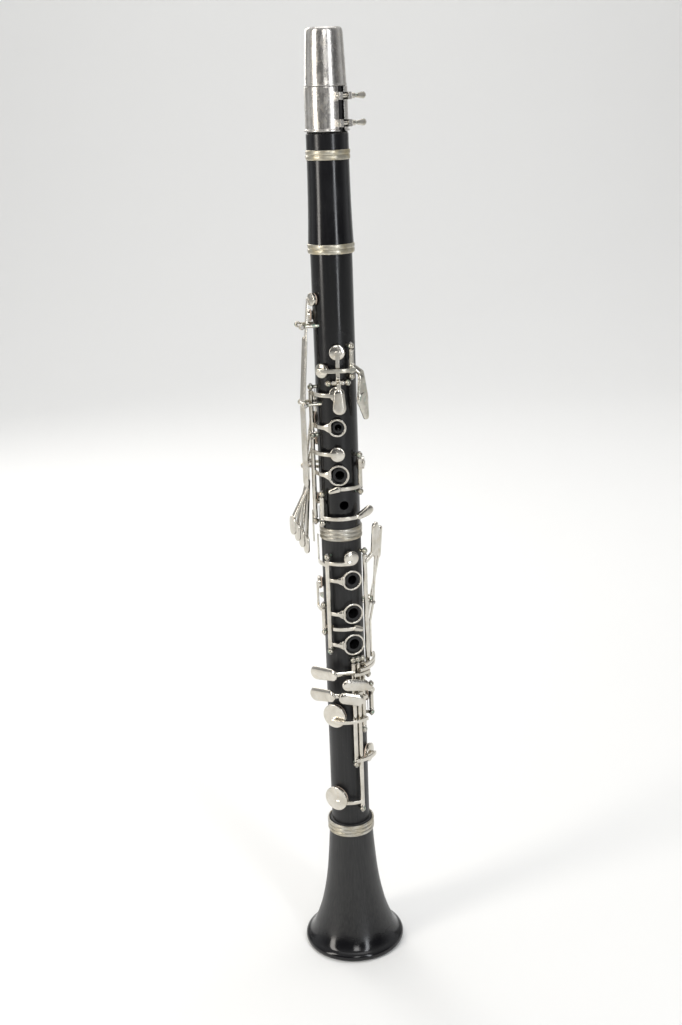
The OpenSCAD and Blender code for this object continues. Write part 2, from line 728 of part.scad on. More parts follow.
module g_sharp_key() {
    arm_z = g_sharp_line[2] + end_gap + 2.5;
    key_along(g_sharp_line, g_sharp_line[2] + end_gap, g_sharp_line[3] - end_gap, [g_sharp_hole]) {
        riser(g_sharp_line[0], arm_z, hinge_r, over_r + arm_t / 2);
        arc_arm(arm_z, over_r, g_sharp_hole[1], g_sharp_line[0]);
        riser(g_sharp_hole[1], arm_z, cup_r + cup_h - 0.3, over_r + arm_t / 2);
        plate(pt(38, hinge_r + 1.4, arm_z + 2), pt(50, over_r + 1.3, arm_z - 3), 3.4, 4.5, touch_t, 46);
        plate(pt(50, over_r + 1.3, arm_z - 3), pt(53, over_r + 1.1, uz(94)), 4.5, 9, touch_t, 46);
        plate(pt(53, over_r + 1.1, uz(94)), pt(63, over_r + 1.1, uz(81)), 9, 4, touch_t, 46);
    }
}

// Side key: a lever across its pivot, a cup at the top and a finger plate on an outward bend
module side_key(pivot, side, hole, tip)
    key_across(pivot, side * side_pair - 1.7, side * side_pair + 1.7, [hole]) {
        bent_bar(pivot[0], [[hole[0], arm_r + 0.2], [pivot[2], pivot[1]], [uz(29), pivot[1]]],
            side * side_pair, 3.2, arm_t);
        plate(side_pt(pivot[0], side * side_pair, pivot[1], uz(29.6)), tip + [0, 0, 4], 3.2, 4, arm_t, -62);
        plate(tip + [0, 0, 3.4], tip - [0, 0, 3.4], 7.2, 7.2, touch_t, -62);
    }

// Finger plates of the side keys, stepping in and back from the highest to the lowest
side_tip = [-34, -9, uz(3)];
side_step = [2.9, 5, -6.6];

module side_key_1() side_key(long_pivot, 1, side_hole_1, side_tip);
module side_key_2() side_key(long_pivot, -1, side_hole_2, side_tip + side_step);
module side_key_3() side_key(short_pivot, 1, side_hole_3, side_tip + 2 * side_step);
module side_key_4() side_key(short_pivot, -1, side_hole_4, side_tip + 3 * side_step);

module c_sharp_key() {
    lever_z = c_sharp_line[2] + end_gap + arm_w / 2;
    rise_a = c_sharp_hole[1] + 17;
    key_along(c_sharp_line, c_sharp_line[2] + end_gap, c_sharp_line[3] - end_gap, [c_sharp_hole]) {
        arc_arm(c_sharp_hole[0], under_r, rise_a, c_sharp_line[0], t = 1);
        riser(c_sharp_line[0], c_sharp_hole[0], under_r, hinge_r);
        riser(rise_a, c_sharp_hole[0], under_r - 0.4, arm_r + arm_t / 2);
        arc_arm(c_sharp_hole[0], arm_r, c_sharp_hole[1], rise_a);
        arc_arm(lever_z, hinge_r - 0.3, c_sharp_line[0], 46);
        plate(pt(44, hinge_r + 0.2, lever_z + 0.3), pt(70, over_r, lever_z + 2.8), 4.5, 7, touch_t, 60);
    }
}

module e_flat_sliver_key() {
    lever_z = e_flat_line[2] + end_gap + arm_w / 2;
    key_along(e_flat_line, e_flat_line[2] + end_gap, e_flat_line[3] - end_gap, [e_flat_hole]) {
        arc_arm(e_flat_hole[0], arm_r, e_flat_line[0], e_flat_hole[1]);
        arc_arm(lever_z, hinge_r - 0.2, -12, e_flat_line[0]);
        plate(pt(-4, hinge_r, lever_z), pt(-19, hinge_r + 0.2, lever_z - 1.6), 4.4, 3.4, touch_t, -12);
    }
}

module lower_ring_key()
    swing(lower_line, -lower_open)
        key_along(lower_line, lower_line[2] + end_gap, lower_line[3] - end_gap, [lower_ring_hole]) {
        arc_arm(lower_line[3] - end_gap - 2, arm_r, lower_line[0], lower_ring_hole[1]);
        for (h = lower_finger_holes) {
            finger_ring(h);
            ring_arm(lower_line, h, 1);
        }
        arc_arm(lower_line[3] - end_gap - 4, bridge_r - 2.1, bridge_a, lower_line[0], t = 1.2);
        long_arm(bridge_a, bridge_r - 2.1, lower_line[3] - end_gap - 5.4, upper_z - 7, t = 1.2);
    }

module f_sharp_sliver_key() {
    lever_z = sliver_line[2] + end_gap + arm_w / 2 + 0.3;
    rise_a = lower_line[0] + 11.5;
    key_along(sliver_line, sliver_line[2] + end_gap, sliver_line[3] - end_gap, [f_sharp_sliver_hole]) {
        arc_arm(sliver_line[3] - end_gap - arm_w / 2, arm_r, f_sharp_sliver_hole[1], sliver_line[0]);
        long_arm(f_sharp_sliver_hole[1], arm_r, sliver_line[3] - end_gap - arm_w + 0.2,
            f_sharp_sliver_hole[0], t = arm_t + 0.4);
        riser(sliver_line[0], lever_z, under_r + 0.4, hinge_r);
        arc_arm(lever_z, under_r + 0.4, sliver_line[0], rise_a, t = 1.2);
        riser(rise_a, lever_z, under_r - 0.2, arm_r + arm_t / 2);
        arc_arm(lever_z, arm_r, rise_a, la(6));
        plate(pt(la(3), arm_r, lever_z), pt(la(17), arm_r + 0.1, lever_z - 1.8), 4.4, 3.4, touch_t, la(10));
    }
}

// Pebble-shaped plate for the right little finger
module pebble(a0, up0, a1, up1)
    plate(pt(a0, touch_r, pinky_z - up0), pt(a1, touch_r, pinky_z - up1), 9, 9, touch_t, (a0 + a1) / 2);

module f_sharp_c_sharp_key()
    key_along(rod_a, rod_a[2] + end_gap, rod_a[3] - end_gap, [f_sharp_c_sharp_hole]) {
        riser(rod_a[0], f_sharp_c_sharp_hole[0], hinge_r, over_r + arm_t / 2);
        arc_arm(f_sharp_c_sharp_hole[0], over_r, rod_a[0], f_sharp_c_sharp_hole[1]);
        riser(f_sharp_c_sharp_hole[1], f_sharp_c_sharp_hole[0], cup_r + cup_h - 0.4, over_r + arm_t / 2);
        plate(pt(rod_a[0], hinge_r + 0.6, pinky_z - 13.6), pt(la(-48), touch_r, pinky_z - 13),
            3.4, 4, arm_t, la(-27));
        pebble(la(-48), 13, la(-86), 15.5);
        riser(rod_a[0], tail_z(2), hinge_r, tail_r + arm_t / 2, tail_w);
        arc_arm(tail_z(2), tail_r, rod_a[0], left_line[0] - 11, tail_w);
    }

module e_b_key()
    swing(rod_b, low_open) key_along(rod_b, rod_b[2] + end_gap, rod_b[3] - end_gap, [e_b_hole]) {
        arc_arm(e_b_hole[0] - 2.5, arm_r, e_b_hole[1], rod_b[0]);
        riser(rod_b[0], pinky_z - 30, hinge_r, over_r + arm_t / 2);
        arc_arm(pinky_z - 30, over_r, la(-40), rod_b[0]);
        plate(pt(la(-38), over_r, pinky_z - 30), pt(la(-54), touch_r, pinky_z - 29.5),
            3.4, 5, arm_t, la(-48));
        pebble(la(-54), 29.5, la(-90), 32.5);
        riser(rod_b[0], tail_z(1), hinge_r, tail_r + arm_t / 2, tail_w);
        arc_arm(tail_z(1), tail_r, rod_b[0], rocker_pivot[0] + 13, tail_w);
    }

module f_c_key()
    swing(rod_c, low_open) key_along(rod_c, rod_c[2] + end_gap, rod_c[3] - end_gap, [f_c_hole]) {
        riser(rod_c[0], f_c_hole[0] - 3, hinge_r, over_r + arm_t / 2);
        arc_arm(f_c_hole[0] - 3, over_r, f_c_hole[1], rod_c[0]);
        riser(f_c_hole[1], f_c_hole[0] - 3, cup_r + cup_h - 0.4, over_r + arm_t / 2);
        riser(rod_c[0], pinky_z - 34, hinge_r, over_r + arm_t / 2);
        arc_arm(pinky_z - 34, over_r, la(0), rod_c[0]);
        plate(pt(la(2), over_r, pinky_z - 34), pt(la(-6), touch_r, pinky_z - 33), 3.4, 5, arm_t, la(-2));
        pebble(la(-28), 30.5, la(-6), 33);
        riser(rod_c[0], tail_z(0), hinge_r, tail_r + arm_t / 2, tail_w);
        arc_arm(tail_z(0), tail_r, rod_c[0], rocker_pivot[0] - 3, tail_w);
    }

module a_flat_key()
    key_along(a_flat_line, a_flat_line[2] + end_gap, a_flat_line[3] - end_gap, [a_flat_hole]) {
        arc_arm(a_flat_hole[0], arm_r, a_flat_line[0], a_flat_hole[1]);
        pebble(la(-20), 20.5, la(6), 22.5);
        plate(pt(la(6), touch_r, pinky_z - 22.5), pt(la(28), touch_r, pinky_z - 29), 5, 3.4, arm_t, la(17));
        plate(pt(la(28), touch_r, pinky_z - 29),
            pt(a_flat_line[0], hinge_r + 0.8, a_flat_line[3] - end_gap - 4.5), 3.4, 3.4, arm_t, la(43));
    }

// Turn of the left-hand finger plates towards the front
leaf_turn = 38;

// Lever for the left little finger: rocks on its pivot and lifts a tail of a low key
module rocker(side, end_z, out, tip_z, d)
    key_across(rocker_pivot, side * rocker_side - 1.25, side * rocker_side + 1.25) {
        bent_bar(rocker_pivot[0], [[end_z, hinge_r + 0.2], [rocker_pivot[2] - 14, hinge_r + 0.2],
            [rocker_pivot[2], rocker_pivot[1]], [tip_z - 20, out - 1.5]], side * rocker_side, 2.5, bar_t);
        plate(side_pt(rocker_pivot[0], side * rocker_side, out - 1.5, tip_z - 19),
            side_pt(rocker_pivot[0], side * rocker_side, out, tip_z), d - 1.2, d, bar_t,
            rocker_pivot[0] - leaf_turn);
    }

module lh_f_c_lever() rocker(-1, tail_z(0) - (tail_w - bar_t) / 2, over_r + 4, lz(231), 5.6);
module lh_e_b_lever() rocker(1, tail_z(1) - (tail_w - bar_t) / 2, over_r + 8.4, lz(228), 5.6);

module lh_f_sharp_lever()
    key_along(left_line, left_line[2] + end_gap, left_line[3] - end_gap) {
        arc_arm(tail_z(2), hinge_r + 1, left_line[0] - 13, left_line[0], tail_w);
        plate(pt(left_line[0], hinge_r + 1.4, left_line[3] - 7), pt(la(50), over_r + 1.8, left_line[3] - 2.5),
            3.4, 4, arm_t, la(44));
        plate(pt(la(50), over_r + 1.8, left_line[3] - 2.5), pt(la(53), over_r + 3.6, left_line[3] + 17),
            4, 7, touch_t, la(36));
    }

// Pads

module register_pad() pad(register_hole);
module upper_ring_pad() swing(ring_line, -upper_open) pad(upper_ring_hole);
module bridge_pad() swing(ring_line, -upper_open) pad(bridge_hole);
module a_pad() pad(a_hole);
module g_sharp_pad() pad(g_sharp_hole);
module side_pad_1() pad(side_hole_1);
module side_pad_2() pad(side_hole_2);
module side_pad_3() pad(side_hole_3);
module side_pad_4() pad(side_hole_4);
module c_sharp_pad() pad(c_sharp_hole);
module e_flat_pad() pad(e_flat_hole);
module lower_ring_pad() swing(lower_line, -lower_open) pad(lower_ring_hole);
module f_sharp_sliver_pad() pad(f_sharp_sliver_hole);
module f_c_pad() swing(rod_c, low_open) pad(f_c_hole);
module e_b_pad() swing(rod_b, low_open) pad(e_b_hole);
module f_sharp_c_sharp_pad() pad(f_sharp_c_sharp_hole);
module a_flat_pad() pad(a_flat_hole);

upper_joint();
lower_joint();
bell();
bell_ring();
lower_joint_ring();
tenon_corks();
key_posts();
hinge_rods();
needle_springs();
thumb_rest();
thumb_rest_screws();
tone_hole_tubes();
barrel();
barrel_rings();
mouthpiece();
mouthpiece_cork();
reed();
ligature();
ligature_screw_upper();
ligature_screw_lower();
mouthpiece_cap();
register_key();
thumb_ring_key();
upper_ring_key();
bridge_ring_key();
a_key();
g_sharp_key();
side_key_1();
side_key_2();
side_key_3();
side_key_4();
c_sharp_key();
e_flat_sliver_key();
lower_ring_key();
f_sharp_sliver_key();
f_c_key();
e_b_key();
f_sharp_c_sharp_key();
a_flat_key();
lh_e_b_lever();
lh_f_c_lever();
lh_f_sharp_lever();
register_pad();
upper_ring_pad();
bridge_pad();
a_pad();
g_sharp_pad();
side_pad_1();
side_pad_2();
side_pad_3();
side_pad_4();
c_sharp_pad();
e_flat_pad();
lower_ring_pad();
f_sharp_sliver_pad();
f_c_pad();
e_b_pad();
f_sharp_c_sharp_pad();
a_flat_pad();
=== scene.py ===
import bpy, bmesh, json, math
import numpy as np
from mathutils import Matrix, Vector


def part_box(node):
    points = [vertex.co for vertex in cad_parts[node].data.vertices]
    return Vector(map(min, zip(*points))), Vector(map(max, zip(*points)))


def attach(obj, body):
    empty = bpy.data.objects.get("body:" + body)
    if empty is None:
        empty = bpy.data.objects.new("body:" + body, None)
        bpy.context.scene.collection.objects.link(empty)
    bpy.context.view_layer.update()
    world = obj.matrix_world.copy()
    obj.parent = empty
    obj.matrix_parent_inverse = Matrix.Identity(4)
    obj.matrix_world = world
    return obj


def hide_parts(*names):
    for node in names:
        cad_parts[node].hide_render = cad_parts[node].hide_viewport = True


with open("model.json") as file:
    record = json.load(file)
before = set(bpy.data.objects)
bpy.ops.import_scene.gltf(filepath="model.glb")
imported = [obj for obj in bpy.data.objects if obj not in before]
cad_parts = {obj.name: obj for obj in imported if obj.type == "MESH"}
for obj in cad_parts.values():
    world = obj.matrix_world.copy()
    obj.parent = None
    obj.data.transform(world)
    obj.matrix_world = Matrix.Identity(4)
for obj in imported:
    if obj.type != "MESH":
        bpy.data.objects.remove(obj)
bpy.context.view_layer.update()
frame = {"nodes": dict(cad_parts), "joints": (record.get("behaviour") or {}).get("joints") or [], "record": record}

mm = 0.001
nodes = frame["nodes"]


# camera, floor and light

view = {"side": 0.0005, "back": 0.92585, "height": 0.64448, "pitch": 17.574, "roll": 1.995, "lens": 47.53}


def makeCamera():
    data = bpy.data.cameras.new("viewCamera")
    data.lens = view["lens"]
    data.clip_start = 0.01
    cam = bpy.data.objects.new("viewCamera", data)
    pitch = Matrix.Rotation(math.radians(90 - view["pitch"]), 4, "X")
    roll = Matrix.Rotation(-math.radians(view["roll"]), 4, "Z")
    cam.matrix_world = Matrix.Translation((view["side"], -view["back"], view["height"])) @ (pitch @ roll)
    bpy.context.collection.objects.link(cam)
    bpy.context.scene.camera = cam


studio = {
    "left": {"place": (-1.3, -0.75, 0.95), "size": (0.36, 1.5), "watts": 13, "colour": (1.0, 0.96, 0.90)},
    "right": {"place": (0.75, -1.25, 0.85), "size": (0.2, 1.4), "watts": 7, "colour": (0.93, 0.96, 1.0)},
    "front": {"place": (0.12, -2.3, 1.5), "size": (0.5, 0.9), "watts": 9, "colour": (1.0, 0.99, 0.97)},
    "top": {"place": (0.1, 0.3, 2.1), "size": (1.4, 1.4), "watts": 9, "colour": (1.0, 1.0, 1.0)},
    "wall": {"place": (0.0, 0.9, 2.3), "size": (3.0, 0.8), "watts": 30, "colour": (1.0, 1.0, 1.0),
             "aim": (0, 3.1, 0.5)},
    "back": {"place": (-0.7, 1.2, 1.1), "size": (0.5, 1.0), "watts": 6, "colour": (1.0, 0.98, 0.95)},
}
middle = (0, 0, 0.38)
surroundings = {"behind": (0.93, 0.94, 0.95), "facing": (0.16, 0.16, 0.165), "overhead": (0.8, 0.8, 0.8),
                "strength": 0.66, "turn": (-0.35, 0.25), "rise": (0.35, 0.9)}


def makeLights():
    for name, lamp in studio.items():
        data = bpy.data.lights.new(name + "Box", "AREA")
        data.shape = "RECTANGLE"
        data.size, data.size_y = lamp["size"]
        data.energy = lamp["watts"]
        data.color = lamp["colour"]
        box = link(bpy.data.objects.new(name + "Box", data))
        box.location = lamp["place"]
        aim = Vector(lamp.get("aim", middle)) - Vector(lamp["place"])
        box.rotation_euler = aim.to_track_quat("-Z", "Y").to_euler()
    world = bpy.data.worlds.new("studioWorld")
    world.use_nodes = True
    tree = world.node_tree
    coords = tree.nodes.new("ShaderNodeTexCoord")
    split = tree.nodes.new("ShaderNodeSeparateXYZ")
    tree.links.new(coords.outputs["Generated"], split.inputs[0])
    walls = rampNode(tree, split.outputs[1], zip(surroundings["turn"], ("facing", "behind")))
    sky = rampNode(tree, split.outputs[2], zip(surroundings["rise"], ("black", "white")))
    mix = tree.nodes.new("ShaderNodeMix")
    mix.data_type = "RGBA"
    tree.links.new(sky, mix.inputs[0])
    tree.links.new(walls, mix.inputs[6])
    mix.inputs[7].default_value = (*surroundings["overhead"], 1)
    tree.links.new(mix.outputs[2], tree.nodes["Background"].inputs["Color"])
    tree.nodes["Background"].inputs["Strength"].default_value = surroundings["strength"]
    bpy.context.scene.world = world
    bpy.context.scene.view_settings.view_transform = "Standard"


def rampNode(tree, source, stops):
    # a ramp over -1 to 1
    half = tree.nodes.new("ShaderNodeMapRange")
    half.inputs[1].default_value, half.inputs[2].default_value = -1, 1
    tree.links.new(source, half.inputs[0])
    made = tree.nodes.new("ShaderNodeValToRGB")
    plain = {"black": (0, 0, 0), "white": (1, 1, 1)}
    for element, (place, colour) in zip(made.color_ramp.elements, stops):
        element.position = (place + 1) / 2
        element.color = (*(surroundings.get(colour) or plain[colour]), 1)
    tree.links.new(half.outputs[0], made.inputs[0])
    return made.outputs[0]


def link(obj):
    bpy.context.collection.objects.link(obj)
    return obj


def meshObject(name, bm):
    data = bpy.data.meshes.new(name)
    bmesh.ops.recalc_face_normals(bm, faces=bm.faces)
    bm.to_mesh(data)
    bm.free()
    for poly in data.polygons:
        poly.use_smooth = True
    return link(bpy.data.objects.new(name, data))


sweep = {"near": 2.0, "flat": 1.9, "curve": 1.2, "steps": 12, "top": 2.6, "reach": 7.0, "half": 6.0}


def makeFloor():
    # a sheet of pale paper, flat under the clarinet and swept up far behind it
    line = [(-sweep["reach"], 0.0), (-sweep["near"], 0.0), (0.0, 0.0), (sweep["flat"], 0.0)]
    for i in range(1, sweep["steps"] + 1):
        t = math.radians(90 * i / sweep["steps"])
        line.append((sweep["flat"] + sweep["curve"] * math.sin(t), sweep["curve"] * (1 - math.cos(t))))
    line.append((sweep["flat"] + sweep["curve"], sweep["top"]))
    bm = bmesh.new()
    rows = [[bm.verts.new((x, y, z)) for y, z in line] for x in (-sweep["half"], 0, sweep["half"])]
    for near, far in zip(rows, rows[1:]):
        for i in range(len(line) - 1):
            bm.faces.new((near[i], far[i], far[i + 1], near[i + 1]))
    floor = meshObject("paleFloor", bm)
    floor.data.materials.append(floorMaterial())


class Value:
    def __init__(self, shader, socket):
        self.shader, self.socket = shader, socket

    def maths(self, kind, first, second):
        return self.shader.node("ShaderNodeMath", {"operation": kind}, {0: first, 1: second})

    def __add__(self, other):
        return self.maths("ADD", self, other)

    def __radd__(self, other):
        return self.maths("ADD", other, self)

    def __sub__(self, other):
        return self.maths("SUBTRACT", self, other)

    def __rsub__(self, other):
        return self.maths("SUBTRACT", other, self)

    def __mul__(self, other):
        return self.maths("MULTIPLY", self, other)

    def __rmul__(self, other):
        return self.maths("MULTIPLY", other, self)


class Shader:
    def __init__(self, name):
        self.material = bpy.data.materials.new(name)
        self.material.use_nodes = True
        self.tree = self.material.node_tree
        self.surface = self.tree.nodes["Principled BSDF"]
        self.coords = self.node("ShaderNodeTexCoord", {}, {}, "Object")

    def node(self, kind, settings, inputs, out=0):
        made = self.tree.nodes.new(kind)
        for key, setting in settings.items():
            if key == "stops":
                self.stops(made.color_ramp, setting)
            else:
                setattr(made, key, setting)
        for key, value in inputs.items():
            self.feed(made.inputs[key], value)
        return Value(self, made.outputs[out])

    def stops(self, ramp, stops):
        while len(ramp.elements) < len(stops):
            ramp.elements.new(0.5)
        for element, (place, colour) in zip(ramp.elements, stops):
            element.position = place
            element.color = (*colour, 1)

    def feed(self, socket, value):
        if isinstance(value, Value):
            self.tree.links.new(value.socket, socket)
        elif isinstance(value, tuple) and len(value) == 3 and socket.type == "RGBA":
            socket.default_value = (*value, 1)
        else:
            socket.default_value = value

    def set(self, **inputs):
        for key, value in inputs.items():
            self.feed(self.surface.inputs[key.replace("_", " ")], value)
        return self

    def stretched(self, x, y, z):
        return self.node("ShaderNodeMapping", {}, {"Vector": self.coords, "Scale": (x, y, z)})

    def noise(self, scale, detail=4, rough=0.55, at=None, warp=0.0):
        inputs = {"Vector": at or self.coords, "Scale": scale, "Detail": detail, "Roughness": rough}
        return self.node("ShaderNodeTexNoise", {}, {**inputs, "Distortion": warp})

    def ramp(self, value, *stops):
        # grey ramp, each stop a place and a brightness
        return self.node("ShaderNodeValToRGB", {"stops": [(p, (c, c, c)) for p, c in stops]}, {"Fac": value})

    def mix(self, mask, a, b):
        return self.node("ShaderNodeMix", {"data_type": "RGBA"}, {0: mask, 6: a, 7: b}, 2)

    def height(self):
        return self.node("ShaderNodeSeparateXYZ", {}, {0: self.coords}, 2)

    def bump(self, value, strength, distance, normal=None):
        ins = {"Height": value, "Strength": strength, "Distance": distance}
        if normal is not None:
            ins["Normal"] = normal
        return self.node("ShaderNodeBump", {}, ins)


def floorMaterial():
    s = Shader("palePlainFloor")
    s.set(Base_Color=(0.86, 0.86, 0.85), Specular_IOR_Level=0.2)
    s.set(Roughness=s.ramp(s.noise(3), (0.3, 0.62), (0.7, 0.72)))
    return s.material


def blackBody(name, dark, grey, gloss, satin, grain, dust, shine):
    s = Shader(name)
    fibre = s.noise(900, 6, 0.6, s.stretched(1, 1, 0.03))       # fine grain along the bore
    cloud = s.noise(26, 5, 0.6)
    smudge = s.noise(70, 4, 0.65, s.stretched(1, 1, 0.45), 0.6)
    speck = s.ramp(s.noise(1700, 2), (0.70, 0.0), (0.78, 1.0))
    wipe = s.ramp(cloud, (0.42, 0.0), (0.68, 1.0))
    base = s.mix(s.ramp(fibre, (0.35, 0.0), (0.75, 1.0)), dark, grey)
    base = s.mix(speck * dust, base, (0.30, 0.29, 0.27))
    rough = gloss + wipe * (satin - gloss) + s.ramp(smudge, (0.45, 0.0), (0.75, 1.0)) * 0.07
    s.set(Base_Color=base, Roughness=rough, Specular_IOR_Level=shine)
    fine = s.bump(fibre, grain, 0.12 * mm)
    s.set(Normal=s.bump(smudge, 0.06, 0.3 * mm, fine))
    return s.material


def bellWood():
    # satin above, polished where the hand and the cloth reach the rim
    s = Shader("bellWood")
    fibre = s.noise(900, 6, 0.6, s.stretched(1, 1, 0.03))
    smudge = s.noise(60, 4, 0.65, None, 0.6)
    satin = s.ramp(s.height() * 20 + s.ramp(smudge, (0.3, 0.0), (0.7, 1.0)) * 0.06, (0.26, 0.0), (0.40, 1.0))
    grey = s.mix(s.ramp(fibre, (0.35, 0.0), (0.75, 1.0)), (0.010, 0.010, 0.011), (0.026, 0.026, 0.025))
    speck = s.ramp(s.noise(1500, 2), (0.72, 0.0), (0.8, 1.0))
    s.set(Base_Color=s.mix(satin, (0.004, 0.004, 0.005), s.mix(speck * 0.3, grey, (0.25, 0.24, 0.22))))
    s.set(Specular_IOR_Level=0.45)
    s.set(Roughness=0.12 + satin * 0.26 + s.ramp(smudge, (0.45, 0.0), (0.75, 1.0)) * 0.06)
    s.set(Normal=s.bump(fibre, 0.08, 0.1 * mm, s.bump(smudge, 0.05, 0.3 * mm)))
    return s.material


def nickel(name, bright, dull, gloss, satin, tarnish, green=0.0):
    s = Shader(name)
    cloud = s.noise(120, 5, 0.6, None, 0.4)
    pits = s.noise(2200, 3, 0.6)
    rub = s.noise(420, 5, 0.7, s.stretched(1, 1, 0.25))
    stain = s.ramp(s.noise(210, 6, 0.7, None, 0.8), (0.52, 0.0), (0.66, 1.0))
    base = s.mix(s.ramp(cloud, (0.35, 0.0), (0.7, 1.0)), bright, dull)
    base = s.mix(stain * tarnish, base, (0.60, 0.50, 0.33))
    if green > 0:
        bloom = s.ramp(s.noise(330, 5, 0.75, None, 0.5), (0.56, 0.0), (0.64, 1.0))
        base = s.mix(bloom * green, base, (0.16, 0.36, 0.27))
        s.set(Metallic=1 - bloom * green * 0.8)
        rough = gloss + s.ramp(rub, (0.35, 0.0), (0.75, 1.0)) * (satin - gloss) + bloom * green * 0.4
    else:
        s.set(Metallic=1.0)
        rough = gloss + s.ramp(rub, (0.35, 0.0), (0.75, 1.0)) * (satin - gloss) + stain * tarnish * 0.2
    s.set(Base_Color=base, Roughness=rough)
    s.set(Normal=s.bump(rub, 0.05, 0.05 * mm, s.bump(pits, 0.08, 0.03 * mm)))
    return s.material


def ringMetal(name, bright, dull, worn):
    s = Shader(name)
    turned = s.noise(60, 3, 0.6, s.stretched(0.15, 0.15, 60))   # lathe lines round the ring
    cloud = s.noise(140, 5, 0.65)
    soot = s.ramp(s.noise(260, 5, 0.7), (0.5, 0.0), (0.7, 1.0))
    bare = s.ramp(s.noise(95, 4, 0.6, None, 0.5), (0.46, 0.0), (0.6, 1.0))   # plating gone to the brass
    base = s.mix(s.ramp(cloud, (0.4, 0.0), (0.7, 1.0)), bright, dull)
    base = s.mix(bare * worn, base, (0.50, 0.40, 0.20))
    base = s.mix(soot * 0.35, base, (0.16, 0.14, 0.12))
    s.set(Base_Color=base, Metallic=1.0)
    s.set(Roughness=0.28 + s.ramp(cloud, (0.3, 0.0), (0.7, 1.0)) * 0.2 + soot * 0.1)
    s.set(Normal=s.bump(turned, 0.12, 0.08 * mm))
    return s.material


def padSkin():
    s = Shader("padSkin")
    cloud = s.noise(300, 5, 0.6)
    crease = s.noise(900, 4, 0.7, None, 1.2)
    s.set(Base_Color=s.mix(cloud, (0.83, 0.68, 0.55), (0.70, 0.50, 0.38)), Roughness=0.45 + crease * 0.2)
    s.set(Subsurface_Weight=0.1, Normal=s.bump(crease, 0.3, 0.15 * mm))
    return s.material


def corkStuff():
    s = Shader("waxedCork")
    cell = s.node("ShaderNodeTexVoronoi", {}, {"Vector": s.coords, "Scale": 900})
    dark = s.ramp(s.noise(500, 4), (0.55, 0.0), (0.66, 1.0))
    pale = s.mix(cell, (0.52, 0.33, 0.17), (0.66, 0.46, 0.27))
    s.set(Base_Color=s.mix(dark, pale, (0.2, 0.11, 0.05)), Roughness=0.75)
    s.set(Normal=s.bump(cell, 0.4, 0.2 * mm))
    return s.material


def caneStuff():
    s = Shader("reedCane")
    fibre = s.noise(1400, 4, 0.5, s.stretched(1, 1, 0.02))
    s.set(Base_Color=s.mix(fibre, (0.80, 0.66, 0.36), (0.62, 0.47, 0.22)), Roughness=0.5 + fibre * 0.15)
    s.set(Normal=s.bump(fibre, 0.3, 0.1 * mm))
    return s.material


def steelRod():
    s = Shader("steelRod")
    turned = s.noise(500, 3, 0.6)
    s.set(Base_Color=s.mix(turned, (0.50, 0.49, 0.48), (0.30, 0.28, 0.26)), Metallic=1.0,
          Roughness=0.28 + turned * 0.2, Normal=s.bump(turned, 0.1, 0.05 * mm))
    return s.material


# darkest and palest colour, polished and dull roughness, grain, dust and shine
blackFinishes = {
    "glossBody": ((0.003, 0.003, 0.004), (0.007, 0.007, 0.008), 0.13, 0.24, 0.03, 0.12, 0.5),
    "upperBody": ((0.003, 0.003, 0.004), (0.009, 0.009, 0.009), 0.17, 0.30, 0.05, 0.2, 0.42),
    "satinBody": ((0.009, 0.009, 0.010), (0.022, 0.022, 0.022), 0.32, 0.46, 0.12, 0.4, 0.36),
}


def makeMaterials():
    made = {name: blackBody(name, *look) for name, look in blackFinishes.items()}
    made["bellBody"] = bellWood()
    made["keys"] = nickel("keyNickel", (0.70, 0.67, 0.61), (0.54, 0.51, 0.45), 0.11, 0.26, 0.35)
    made["posts"] = nickel("postNickel", (0.54, 0.51, 0.45), (0.38, 0.36, 0.30), 0.18, 0.40, 0.5, 0.8)
    made["greenKey"] = nickel("wornNickel", (0.66, 0.63, 0.57), (0.50, 0.48, 0.42), 0.13, 0.32, 0.4, 0.5)
    made["ligature"] = nickel("brushedNickel", (0.68, 0.66, 0.63), (0.52, 0.50, 0.47), 0.20, 0.36, 0.22)
    made["rings"] = ringMetal("turnedNickel", (0.52, 0.50, 0.45), (0.36, 0.34, 0.29), 0.25)
    made["warmRings"] = ringMetal("wornPlating", (0.58, 0.55, 0.46), (0.42, 0.39, 0.31), 0.4)
    made.update(pads=padSkin(), cork=corkStuff(), cane=caneStuff(), steel=steelRod())
    return made


finishOf = {
    "upper_joint": "upperBody", "lower_joint": "satinBody", "bell": "bellBody", "barrel": "glossBody",
    "mouthpiece": "glossBody", "tone_hole_tubes": "satinBody", "bell_ring": "rings",
    "lower_joint_ring": "rings", "barrel_rings": "rings", "tenon_corks": "cork", "mouthpiece_cork": "cork",
    "reed": "cane", "hinge_rods": "steel", "needle_springs": "steel", "thumb_rest_screws": "steel",
    "key_posts": "posts", "ligature": "ligature", "mouthpiece_cap": "ligature",
    "ligature_screw_upper": "ligature", "ligature_screw_lower": "ligature", "g_sharp_key": "greenKey",
    "thumb_rest": "posts",
}


def radial(a):
    return Vector((math.sin(math.radians(a)), -math.cos(math.radians(a)), 0))


def tangent(a):
    return Vector((math.cos(math.radians(a)), math.sin(math.radians(a)), 0))


